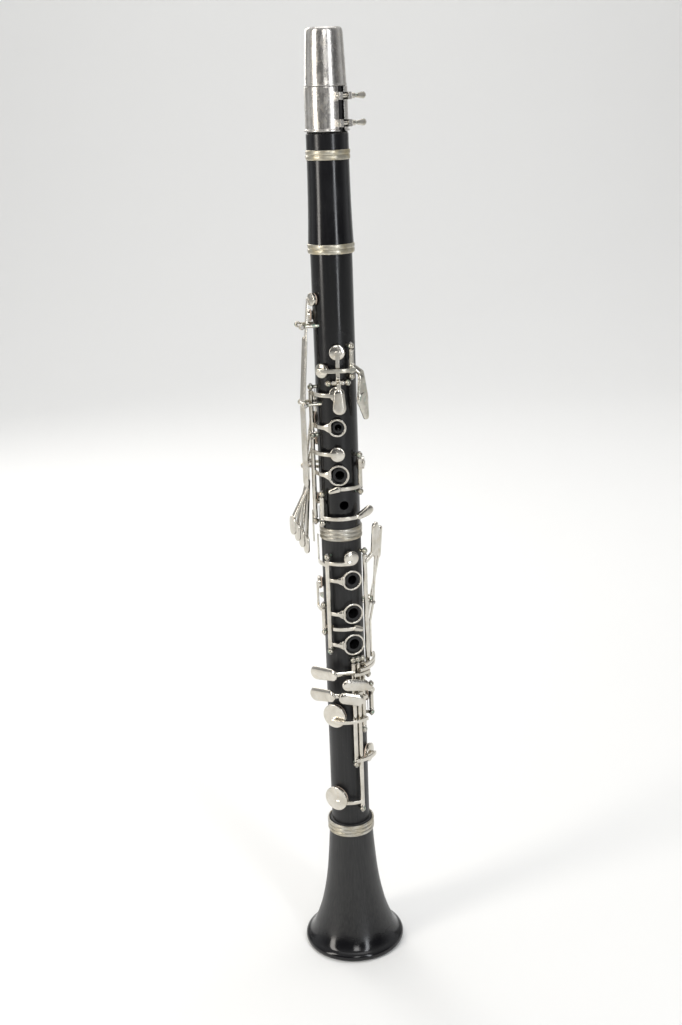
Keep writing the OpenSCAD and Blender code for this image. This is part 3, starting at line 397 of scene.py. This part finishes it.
def lathe(bm, origin, axis, profile, seg=32):
    # turned solid round an axis, profile as (along, radius) pairs in mm
    axis = Vector(axis).normalized()
    side = axis.orthogonal().normalized()
    other = axis.cross(side)
    rings = []
    for along, radius in profile:
        centre = Vector(origin) + axis * along * mm
        if radius < 1e-4:
            rings.append([bm.verts.new(centre)])
        else:
            rings.append([bm.verts.new(centre + (side * math.cos(t) + other * math.sin(t)) * radius * mm)
                          for t in (2 * math.pi * i / seg for i in range(seg))])
    for low, high in zip(rings, rings[1:]):
        for i in range(seg):
            j = (i + 1) % seg
            loop = []
            for vert in (low[i % len(low)], low[j % len(low)], high[j % len(high)], high[i % len(high)]):
                if vert not in loop:
                    loop.append(vert)
            if len(loop) > 2:
                bm.faces.new(loop)


def soften(obj, width, seg, angle=32):
    bevel = obj.modifiers.new("softEdges", "BEVEL")
    bevel.width = width * mm
    bevel.segments = seg
    bevel.limit_method = "ANGLE"
    bevel.angle_limit = math.radians(angle)
    bevel.use_clamp_overlap = True
    bevel.harden_normals = True


weld = 0.002


def worldMesh(node):
    # the CAD node's surface at rest as a welded bmesh, in metres
    obj = nodes[node]
    bm = bmesh.new()
    bm.from_mesh(obj.data)
    bm.transform(obj.matrix_world)
    bmesh.ops.remove_doubles(bm, verts=bm.verts, dist=weld * mm)
    return bm


def bodyOf(node):
    for body, members in frame["record"]["behaviour"]["bodies"].items():
        if node in members:
            return body
    return "root"


def applyModifiers(obj):
    bpy.context.view_layer.update()
    data = bpy.data.meshes.new_from_object(obj.evaluated_get(bpy.context.evaluated_depsgraph_get()))
    obj.modifiers.clear()
    obj.data = data
    for poly in data.polygons:
        poly.use_smooth = True


# keys are remeshed so that every solder joint gets a small fillet and every edge a soft break
forging = {"voxel": 0.24, "smoothing": 5, "strength": 0.5}


def forge(node, finish, extra=None):
    bm = worldMesh(node)
    if extra:
        extra(bm)
    obj = meshObject(node + "_forged", bm)
    grid = obj.modifiers.new("grid", "REMESH")
    grid.mode = "VOXEL"
    grid.voxel_size = forging["voxel"] * mm
    grid.use_smooth_shade = True
    ease = obj.modifiers.new("ease", "SMOOTH")
    ease.factor = forging["strength"]
    ease.iterations = forging["smoothing"]
    applyModifiers(obj)
    dress(obj, finish)
    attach(obj, bodyOf(node))
    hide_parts(node)


def dress(obj, finish):
    obj.data.materials.clear()
    obj.data.materials.append(materials[finish])
    return obj


# finger plates: two ends as angle, radius, height, then the half width at each end and the angle they face
plates = {
    "register_key": [((180, 21.5, 446), (180, 21.5, 438), 3.2, 4.7, 180)],
    "a_key": [((5, 22.6, 443), (5, 22.6, 433), 3.7, 4.7, 5)],
    "g_sharp_key": [((50.5, 22.8, 452), (53, 22.6, 437), 3.2, 5.7, 46),
                    ((53, 22.6, 437), (62.5, 22.6, 424.5), 5.7, 2.8, 48)],
    "c_sharp_key": [((47, 18.9, 352.4), (70, 21.5, 354.7), 2.5, 3.8, 60)],
    "e_flat_sliver_key": [((-4, 18.5, 373.9), (-19, 18.7, 372.3), 2.4, 1.9, -12)],
    "f_sharp_sliver_key": [((27, 18.4, 268.2), (41, 18.5, 266.4), 2.4, 1.9, 34)],
    "f_sharp_c_sharp_key": [((-24, 24.5, 234.5), (-62, 24.5, 232), 4.65, 5.3, -43)],
    "e_b_key": [((-30, 24.5, 218), (-66, 24.5, 215), 4.65, 5.3, -48)],
    "f_c_key": [((-4, 24.5, 217), (18, 24.5, 214.5), 4.75, 4.65, 7)],
    "a_flat_key": [((4, 24.5, 227), (30, 24.5, 225), 4.75, 4.65, 17)],
    "lh_f_sharp_lever": [((74.4, 23.6, 325), (77, 25.1, 341.6), 2.5, 3.7, 60)],
}
# each lever's shift sideways, then radius and height at its two ends
leftLevers = {"lh_f_c_lever": (-3.7, 24.0, 318, 25.5, 337), "lh_e_b_lever": (3.7, 28.4, 315, 29.9, 334),
              "angle": 104, "facing": 66, "narrow": 2.4, "wide": 3.0}
sideTips = {"first": (-34, -9, 346), "step": (2.9, 5, -6.6), "half": 3.4, "width": 3.8, "facing": -62,
            "lift": 0.6}
# the two long trill levers are flat bars turned a little towards the front, each shifted sideways
sideLay = {"angle": -75.5, "facing": -42, "lift": 0.5, "half": 1.9, "side_key_1": 2.1, "side_key_2": -2.1}
# each bar's two ends as radius and height
sideBars = (((24.2, 434), (24.2, 376)), ((24.0, 436), (20.9, 478)))
crown = {"up": 1.8, "down": 1.05, "square": 2.2, "rows": 22, "round": 20, "taper": 0.6, "point": 0.02}
# keys that stand open: hinge angle, hinge radius and the turn away from closed
openKeys = {
    "upper_ring_key": (-73, 18.5, -3.6), "bridge_ring_key": (-73, 18.5, -3.6),
    "thumb_ring_key": (-130, 18.5, 3.6),
    "lower_ring_key": (-34.5, 18.5, -4.3), "f_c_key": (42, 18.5, 3.6), "e_b_key": (30, 18.5, 3.6),
}
# finger rings: height, angle, outer diameter and which way the arm comes from
fingerRings = {
    "upper_ring_key": [(418, 2, 12.8, -1)], "bridge_ring_key": [(383.8, 2, 15, -1)],
    "thumb_ring_key": [(424, 180, 13, 1)],
    "lower_ring_key": [(305.2, 24, 15, -1), (279.5, 24, 15.6, -1), (255.4, 24, 16.4, -1)],
}
web = {"reach": 4.2, "narrow": 1.4, "wide": 4.3, "low": 16.55, "high": 17.75, "middle": 17, "inset": 1.0,
       "lap": 5}


def polar(a, r, z):
    return (radial(a) * r + Vector((0, 0, z))) * mm


def openTurn(key):
    if key not in openKeys:
        return Matrix.Identity(4)
    a, r, turn = openKeys[key]
    hinge = polar(a, r, 0)
    return Matrix.Translation(hinge) @ Matrix.Rotation(math.radians(turn), 4, "Z") @ Matrix.Translation(-hinge)


def crownedPlate(bm, p, q, w0, w1, facing, lift=1.0):
    # pebble-shaped plate over two round ends, crowned on top
    normal = radial(facing)
    along = q - p
    length = along.length
    u = along.normalized()
    v = normal.cross(u).normalized()
    n = u.cross(v).normalized()
    rows = []
    for i in range(crown["rows"] + 1):
        t = i / crown["rows"]
        x = -w0 * mm + (length + (w0 + w1) * mm) * (1 - math.cos(math.pi * t)) / 2
        side = min(max(x / length, 0), 1)
        half = (w0 + (w1 - w0) * side) * mm
        past = -x if x < 0 else max(0, x - length)
        half *= math.sqrt(max(0.0, 1 - (past / half) ** 2)) if past else 1
        half = max(half, crown["point"] * mm)
        rise = min(1, (half / (min(w0, w1) * mm)) ** crown["taper"]) * lift
        ring = []
        for k in range(crown["round"]):
            a = 2 * math.pi * k / crown["round"]
            c, d = math.cos(a), math.sin(a)
            power = 2 / crown["square"]
            across = half * math.copysign(abs(c) ** power, c)
            up = math.copysign(abs(d) ** power, d) * (crown["up"] if d > 0 else crown["down"]) * mm * rise
            ring.append(bm.verts.new(p + u * x + v * across + n * up))
        rows.append(ring)
    for near, far in zip(rows, rows[1:]):
        for k in range(len(near)):
            j = (k + 1) % len(near)
            bm.faces.new((near[k], near[j], far[j], far[k]))
    bm.faces.new(rows[0][::-1])
    bm.faces.new(rows[-1])


def ringWeb(bm, z, a, outer, side):
    # flare where an arm meets its finger ring
    edge = a + side * math.degrees(math.asin((outer / 2 - web["inset"]) / web["middle"]))
    far = edge + side * math.degrees(web["reach"] / web["middle"])
    corners = []
    for r in (web["low"], web["high"]):
        for angle, half in ((far, web["narrow"]), (edge - side * web["lap"], web["wide"])):
            corners.append([bm.verts.new(polar(angle, r, z + k * half)) for k in (-1, 1)])
    (a0, a1), (b0, b1), (c0, c1), (d0, d1) = corners
    for face in ((a0, a1, b1, b0), (c0, d0, d1, c1), (a0, c0, c1, a1), (b0, b1, d1, d0), (a0, b0, d0, c0),
                 (a1, c1, d1, b1)):
        bm.faces.new(face)


def padFrame(node):
    # centre, outward direction, radius and thickness of a pad, from its own mesh
    bm = worldMesh(node)
    pts = np.array([v.co[:] for v in bm.verts])
    bm.free()
    centre = (pts.min(0) + pts.max(0)) / 2
    loose = pts - pts.mean(0)
    normal = Vector(np.linalg.svd(loose, full_matrices=False)[2][2])
    if normal.dot(Vector((centre[0], centre[1], 0))) < 0:
        normal.negate()
    along = loose @ np.array(normal)
    flat = loose - np.outer(along, np.array(normal))
    return Vector(centre), normal, np.linalg.norm(flat, axis=1).max() / mm, (along.max() - along.min()) / mm


cupDome = {"wall": 0.6, "large": 7.5}


def domedCup(bm, pad):
    # small cups are plain domes, large ones have a rolled rim round a shallow dish
    centre, normal, radius, thick = padFrame(pad)
    r = radius + cupDome["wall"]
    if r < cupDome["large"]:
        line = [(0.2, 0), (0.2, r - 0.2), (0.45, r), (0.72, r - 0.1), (0.98, r * 0.84), (1.22, r * 0.6),
                (1.38, r * 0.32), (1.44, 0)]
    else:
        line = [(0.2, 0), (0.2, r - 0.2), (0.45, r), (0.95, r - 0.1), (1.1, r - 0.5), (0.98, r - 1.1),
                (0.98, r * 0.7), (1.15, r * 0.45), (1.25, 0)]
    lathe(bm, centre + normal * thick / 2 * mm, normal, line, 48)


# a hinge tube reaches this far from its axis, and lies along the bore when its axis is this upright
tube = {"reach": 1.75, "upright": 0.9}


def tubeEnds(points, hinge):
    near = [p.z for p in points if math.hypot(p.x - hinge.x, p.y - hinge.y) < tube["reach"] * mm]
    return min(near), max(near)


collar = {"bore": 1.2, "radius": 1.9, "length": 0.7}


def collars(bm, key):
    # thin collars at both ends of a hinge tube that runs along the bore
    joint = next(j for j in frame["joints"] if j["child"] == key)
    if abs(Vector(joint["axis"]).normalized().z) < tube["upright"]:
        return
    hinge = Vector(joint["pos_m"])
    foot, head = tubeEnds([v.co for v in bm.verts], hinge)
    line = [(0, collar["bore"]), (0, collar["radius"]), (collar["length"], collar["radius"]),
            (collar["length"], collar["bore"]), (0, collar["bore"])]
    for z, way in ((foot, 1), (head, -1)):
        lathe(bm, Vector((hinge.x, hinge.y, z)), (0, 0, way), line, 24)


def keyShapes(key):
    def add(bm):
        collars(bm, key)
        extra = bmesh.new()
        for p, q, w0, w1, facing in plates.get(key, []):
            crownedPlate(extra, polar(*p), polar(*q), w0, w1, facing)
        for z, a, outer, side in fingerRings.get(key, []):
            ringWeb(extra, z, a, outer, side)
        for p, q in sideBars if key in sideLay else ():
            shift = tangent(sideLay["angle"]) * sideLay[key] * mm
            crownedPlate(extra, polar(sideLay["angle"], *p) + shift, polar(sideLay["angle"], *q) + shift,
                         sideLay["half"], sideLay["half"], sideLay["facing"], sideLay["lift"])
        if key in leftLevers:
            side, r0, z0, r1, z1 = leftLevers[key]
            shift = tangent(leftLevers["angle"]) * side * mm
            crownedPlate(extra, polar(leftLevers["angle"], r0, z0) + shift,
                         polar(leftLevers["angle"], r1, z1) + shift,
                         leftLevers["narrow"], leftLevers["wide"], leftLevers["facing"])
        if key.startswith("side_key"):
            k = int(key[-1]) - 1
            tip = (Vector(sideTips["first"]) + Vector(sideTips["step"]) * k) * mm
            reach = Vector((0, 0, sideTips["half"])) * mm
            crownedPlate(extra, tip + reach, tip - reach, sideTips["width"], sideTips["width"],
                         sideTips["facing"], sideTips["lift"])
        extra.transform(openTurn(key))
        bmesh.ops.recalc_face_normals(extra, faces=extra.faces)
        spare = bpy.data.meshes.new("spare")
        extra.to_mesh(spare)
        extra.free()
        bm.from_mesh(spare)
        bpy.data.meshes.remove(spare)
        for pad in frame["record"]["behaviour"]["bodies"][bodyOf(key)]:
            if "_pad" in pad:
                domedCup(bm, pad)
    return add


# slotted pivot screws in the outer faces of the posts
screwHead = {"radius": 0.95, "proud": 0.4, "postGap": 2.5, "ball": 2.12, "seat": -0.5, "washer": 0.12,
             "cut": 0.1, "arc": 80, "steps": 10, "bevel": 0.08}


def pivotScrews():
    bm = bmesh.new()
    for joint in frame["joints"]:
        key = joint["child"]
        upright = abs(Vector(joint["axis"]).normalized().z) >= tube["upright"]
        if not key.endswith(("_key", "_lever")) or not upright:
            continue
        hinge = Vector(joint["pos_m"])
        foot, head = tubeEnds([v.co for v in nodes[key].data.vertices], hinge)
        for z, way in ((foot, -1), (head, 1)):
            place = Vector((hinge.x, hinge.y, z + way * (screwHead["postGap"] + screwHead["ball"]) * mm))
            slottedHead(bm, place, Vector((0, 0, way)))
    screws = meshObject("pivot_screws", bm)
    soften(screws, screwHead["bevel"], 2)
    dress(screws, "steel")
    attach(screws, "root")


def slottedHead(bm, place, axis):
    # two half discs with the driver slot between them, on a thin washer
    side = axis.orthogonal().normalized()
    other = axis.cross(side)
    seat, washer, radius, arc = (screwHead[part] for part in ("seat", "washer", "radius", "arc"))
    lathe(bm, place, axis, [(seat, 0), (seat, radius), (washer, radius), (washer, 0)], 20)
    turns = [math.radians(-arc + 2 * arc * i / screwHead["steps"]) for i in range(screwHead["steps"] + 1)]
    for half in (1, -1):
        rim = [place + (side * math.cos(t) * half * radius + other * math.sin(t) * radius) * mm for t in turns]
        low = [bm.verts.new(q + axis * screwHead["cut"] * mm) for q in rim]
        high = [bm.verts.new(q + axis * screwHead["proud"] * mm) for q in rim]
        bm.faces.new(low)
        bm.faces.new(high)
        for i in range(len(rim)):
            j = (i + 1) % len(rim)
            bm.faces.new((low[i], low[j], high[j], high[i]))


# beads on each ring and their shape, then how tall each barrel ring is and how wide the upper one
ringBeads = {"bell_ring": 3, "lower_joint_ring": 3, "barrel_rings": 2, "depth": 0.5, "wall": 1.25, "steps": 8,
             "swell": 0.45, "tall": 6.5, "head": 14.85}


def turnedRing(bm, z0, z1, radius, beads):
    # a ferrule of rounded beads with narrow grooves between them
    line = [(0.0, radius - ringBeads["wall"])]
    height = (z1 - z0) / beads
    for i in range(beads):
        for k in range(ringBeads["steps"] + 1):
            t = k / ringBeads["steps"]
            swell = math.sin(math.pi * t) ** ringBeads["swell"]
            line.append(((i + t) * height, radius - ringBeads["depth"] * (1 - swell)))
    line.append((z1 - z0, radius - ringBeads["wall"]))
    line.append(line[0])
    lathe(bm, Vector((0, 0, z0 * mm)), (0, 0, 1), line, 96)


def makeRings():
    for node in ("bell_ring", "lower_joint_ring"):
        low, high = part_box(node)
        bm = bmesh.new()
        turnedRing(bm, low.z / mm, high.z / mm, high.x / mm, ringBeads[node])
        ring = dress(meshObject(node + "_turned", bm), "rings")
        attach(ring, "root")
        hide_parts(node)
    low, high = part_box("barrel_rings")
    tall, beads = ringBeads["tall"], ringBeads["barrel_rings"]
    bm = bmesh.new()
    turnedRing(bm, low.z / mm, low.z / mm + tall, high.x / mm, beads)
    turnedRing(bm, high.z / mm - tall, high.z / mm, ringBeads["head"], beads)
    ring = dress(meshObject("barrel_rings_turned", bm), "warmRings")
    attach(ring, "barrel")
    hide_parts("barrel_rings")
    print("rings turned")


# outlines of the bell as height and radius
bellShape = {
    "outside": [(0, 35.4), (0.15, 36.6), (0.8, 37.6), (2.0, 38.2), (3.4, 38.28), (4.7, 37.8), (5.7, 36.8),
                (6.4, 35.7), (7.0, 34.9), (9, 33.4), (14, 30.7), (20, 28.2), (30, 25.0), (45, 21.7),
                (60, 19.5), (75, 18.1), (90, 17.0), (97, 16.6)],
    "seat": [(97.1, 15.9), (106, 15.9), (106, 11.06), (89.6, 11.06), (89.6, 7.4)],
    "inside": [(80, 8.6), (60, 11.4), (45, 14.2), (30, 17.9), (18, 22.0), (8, 26.8), (2, 30.0), (0.3, 31.6),
               (0, 32.6)],
    "steps": 5,
}


def eased(points, steps):
    # smooth line through the points
    line = []
    for i in range(len(points) - 1):
        a, b, c, d = (Vector(points[min(max(i + k, 0), len(points) - 1)]) for k in (-1, 0, 1, 2))
        for k in range(steps):
            t = k / steps
            square, cube = a * 2 - b * 5 + c * 4 - d, b * 3 - a - c * 3 + d
            line.append(tuple((b * 2 + (c - a) * t + square * t * t + cube * t ** 3) / 2))
    return line + [points[-1]]


def makeBell():
    outside, inside = (eased(bellShape[face], bellShape["steps"]) for face in ("outside", "inside"))
    line = outside + bellShape["seat"] + inside
    bm = bmesh.new()
    lathe(bm, Vector((0, 0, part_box("bell")[0].z)), (0, 0, 1), line + [line[0]], 128)
    bell = dress(meshObject("bell_turned", bm), "bellBody")
    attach(bell, "root")
    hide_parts("bell")
    print("bell turned")


# outline of the cap from its mouth upwards, as height and outer radius
capShape = {"outline": [(0, 13.8), (0.12, 14.05), (0.5, 14.15), (1.0, 14.1), (1.35, 13.85), (1.8, 13.78),
                        (6, 13.62), (18, 13.1), (30, 12.5), (33, 12.32), (34.6, 12.1), (35.6, 11.6),
                        (36.2, 10.8), (36.45, 9.6), (36.5, 8.0)],
            "wall": 0.5, "shoulder": 34, "underside": 35.9, "dish": 36.4, "dishRadius": 4.0}


def makeCap():
    outer = capShape["outline"]
    wall = capShape["wall"]
    inner = [(max(z - wall * (z > capShape["shoulder"]), 0), r - wall) for z, r in reversed(outer)]
    dish = [(capShape["dish"], capShape["dishRadius"]), (capShape["dish"], 0)]
    bm = bmesh.new()
    foot = Vector((0, 0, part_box("mouthpiece_cap")[0].z))
    lathe(bm, foot, (0, 0, 1), [(capShape["underside"], 0)] + inner + outer + dish, 96)
    cap = dress(meshObject("mouthpiece_cap_spun", bm), "ligature")
    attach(cap, "mouthpiece_cap")
    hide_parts("mouthpiece_cap")
    forge("ligature", "ligature")
    for node in ("ligature_screw_upper", "ligature_screw_lower"):
        wingScrew(node)
    print("cap and ligature made")


# thumb screw along its own axis from the slit, as distance and radius, then its wing
wing = {
    "angle": 45, "radius": 16.1, "leaf": (12.4, 18.2, 1.5, 2.3), "lift": 0.55,
    "shaft": [(-6.4, 0), (-6.4, 0.8), (-6.0, 1.1), (5.4, 1.1), (5.8, 1.5), (6.1, 1.9), (6.7, 1.9), (6.9, 1.65),
              (7.2, 1.9), (7.8, 1.9), (8.0, 1.65), (8.3, 1.9), (9.4, 1.9), (9.8, 1.5), (10.6, 1.15),
              (13.5, 1.0), (13.5, 0)],
}


def wingScrew(node):
    low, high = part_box(node)
    z = (low.z + high.z) / 2
    axis = tangent(wing["angle"])
    centre = radial(wing["angle"]) * wing["radius"] * mm + Vector((0, 0, z))
    bm = bmesh.new()
    lathe(bm, centre, axis, wing["shaft"], 32)
    near, far, w0, w1 = wing["leaf"]
    crownedPlate(bm, centre + axis * near * mm, centre + axis * far * mm, w0, w1, wing["angle"], wing["lift"])
    screw = dress(meshObject(node + "_wing", bm), "greenKey")
    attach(screw, node)
    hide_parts(node)


def makeKeys():
    for node in nodes:
        if node.endswith(("_key", "_lever")) or node.startswith("side_key"):
            forge(node, "greenKey" if node == "g_sharp_key" else "keys", keyShapes(node))
    forge("key_posts", "posts")
    pivotScrews()
    print("keys and posts forged")


def dressFrame():
    for node, obj in nodes.items():
        if obj.hide_render:
            continue
        finish = finishOf.get(node) or ("pads" if "_pad" in node else "keys")
        for material in range(max(1, len(obj.data.materials))):
            if len(obj.data.materials):
                obj.data.materials[material] = materials[finish]
            else:
                obj.data.materials.append(materials[finish])
        for poly in obj.data.polygons:
            poly.use_smooth = True
    print("frame dressed")


materials = makeMaterials()
print("materials made")
makeCamera()
makeLights()
makeFloor()
makeKeys()
makeRings()
makeBell()
makeCap()
dressFrame()
